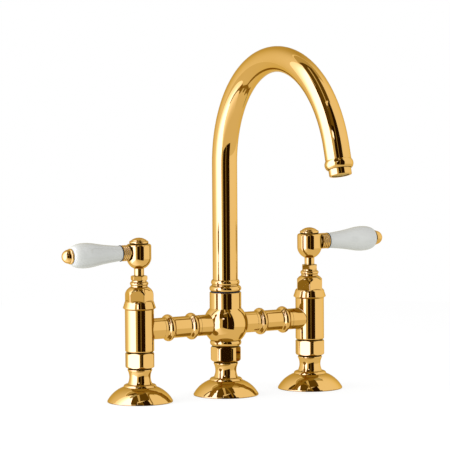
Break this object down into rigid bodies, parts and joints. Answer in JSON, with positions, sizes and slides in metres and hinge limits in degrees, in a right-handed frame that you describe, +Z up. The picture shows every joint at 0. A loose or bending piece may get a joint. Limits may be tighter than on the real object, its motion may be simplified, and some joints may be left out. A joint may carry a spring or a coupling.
{
  "type": "kitchen mixer tap",
  "caption": "Deck-mounted bridge mixer tap: valve columns with porcelain lever handles, a ball-shaped middle body and a swivelling swan-neck spout, on domed flanges.",
  "frame": {"origin": "on the deck, on the middle leg's axis, at the mouth of its stud hole", "axes": "+Z up, -Y along the spout to the user, X along the row of legs, +X to the user's right"},
  "size_m": [0.3802, 0.2743, 0.3663],
  "materials": {
    "polished_gold": "polished and gold-plated",
    "porcelain": "white gloss glaze",
    "plain_brass": "as turned",
    "alumina": "lapped",
    "seal_rubber": "moulded black rubber",
    "steel": "plain stainless",
    "acetal": "moulded black"
  },
  "bodies": {
    "tap_body": {"bonnet_seals": "seal_rubber", "bridge_seals": "seal_rubber", "cartridge_seals": "seal_rubber", "centre_body": "polished_gold", "centre_flange": "polished_gold", "centre_pedestal": "polished_gold", "centre_union_nut": "polished_gold", "deck_gaskets": "seal_rubber", "left_bonnet": "polished_gold", "left_bridge_sleeve": "polished_gold", "left_cartridge_body": "plain_brass", "left_fixed_disc": "alumina", "left_flange": "polished_gold", "left_gland_nut": "polished_gold", "left_pedestal": "polished_gold", "left_union_nut": "polished_gold", "left_valve_body": "polished_gold", "right_bonnet": "polished_gold", "right_bridge_sleeve": "polished_gold", "right_cartridge_body": "plain_brass", "right_fixed_disc": "alumina", "right_flange": "polished_gold", "right_gland_nut": "polished_gold", "right_pedestal": "polished_gold", "right_union_nut": "polished_gold", "right_valve_body": "polished_gold", "spout_grub_screw": "steel", "swivel_washer": "acetal", "union_tails": "plain_brass", "union_washers": "seal_rubber"},
    "left_handle": {"left_rotor_disc": "alumina", "left_spindle": "polished_gold", "left_spindle_seals": "seal_rubber", "left_handle_hub": "polished_gold", "left_hub_screw": "steel", "left_hub_cap": "polished_gold", "left_lever_ferrule": "polished_gold", "left_lever_rod": "steel", "left_lever_grip": "porcelain", "left_lever_finial": "polished_gold"},
    "right_handle": {"right_rotor_disc": "alumina", "right_spindle": "polished_gold", "right_spindle_seals": "seal_rubber", "right_handle_hub": "polished_gold", "right_hub_screw": "steel", "right_hub_cap": "polished_gold", "right_lever_ferrule": "polished_gold", "right_lever_rod": "steel", "right_lever_grip": "porcelain", "right_lever_finial": "polished_gold"},
    "spout": {"spout_tube": "polished_gold", "spout_collar": "polished_gold", "spout_tail": "plain_brass", "spout_seals": "seal_rubber", "nozzle_ring": "polished_gold", "aerator_housing": "polished_gold", "aerator_insert": "acetal", "aerator_washer": "seal_rubber"}
  },
  "joints": [
    {"name": "left_lever_turn", "type": "hinge", "parent": "tap_body", "child": "left_handle", "pos_m": [-0.1016, 0, 0.154], "axis": [0, 0, 1], "range_deg": [0, 90]},
    {"name": "right_lever_turn", "type": "hinge", "parent": "tap_body", "child": "right_handle", "pos_m": [0.1016, 0, 0.154], "axis": [0, 0, 1], "range_deg": [-90, 0]},
    {"name": "spout_swivel", "type": "hinge", "parent": "tap_body", "child": "spout", "pos_m": [0, 0, 0.1072], "axis": [0, 0, 1], "continuous": true}
  ]
}
